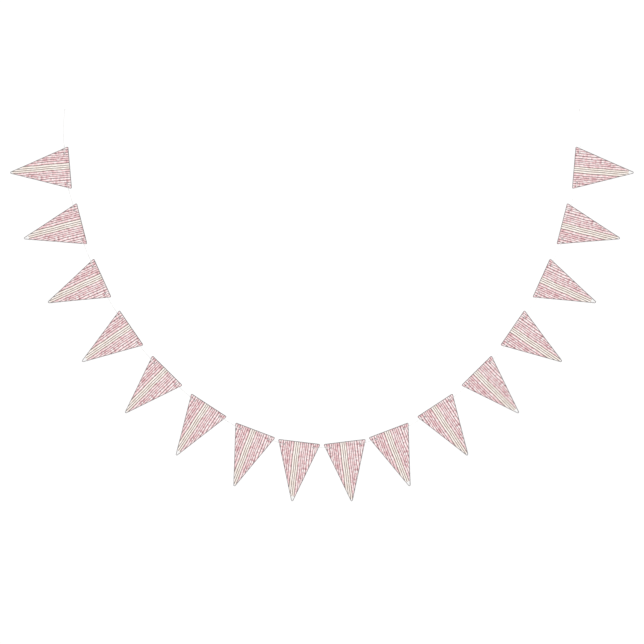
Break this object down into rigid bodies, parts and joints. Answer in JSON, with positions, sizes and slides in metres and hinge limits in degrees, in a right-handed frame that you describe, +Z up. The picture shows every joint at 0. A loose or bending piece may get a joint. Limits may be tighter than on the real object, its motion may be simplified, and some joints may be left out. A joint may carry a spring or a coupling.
{
  "type": "bunting",
  "caption": "Bunting of long triangular cloth pennants with overlocked edges, threaded by their corner holes on one thin string and laid flat in a U.",
  "frame": {"origin": "on the surface below the middle of the box around the pennants", "axes": "+X across the U towards its right arm, +Y along the arms towards the open end of the U, +Z up from the surface, out of the printed side"},
  "size_m": [2.4146, 1.5174, 0.0043],
  "materials": {
    "printed_cloth": "matte printed cloth",
    "white_string": "matte twisted cotton"
  },
  "bodies": {
    "root": {"pennant_01": "printed_cloth", "pennant_02": "printed_cloth", "pennant_03": "printed_cloth", "pennant_04": "printed_cloth", "pennant_05": "printed_cloth", "pennant_06": "printed_cloth", "pennant_07": "printed_cloth", "pennant_08": "printed_cloth", "pennant_09": "printed_cloth", "pennant_10": "printed_cloth", "pennant_11": "printed_cloth", "pennant_12": "printed_cloth", "pennant_13": "printed_cloth", "pennant_14": "printed_cloth", "pennant_15": "printed_cloth", "pennant_16": "printed_cloth", "string": "white_string"}
  },
  "joints": []
}
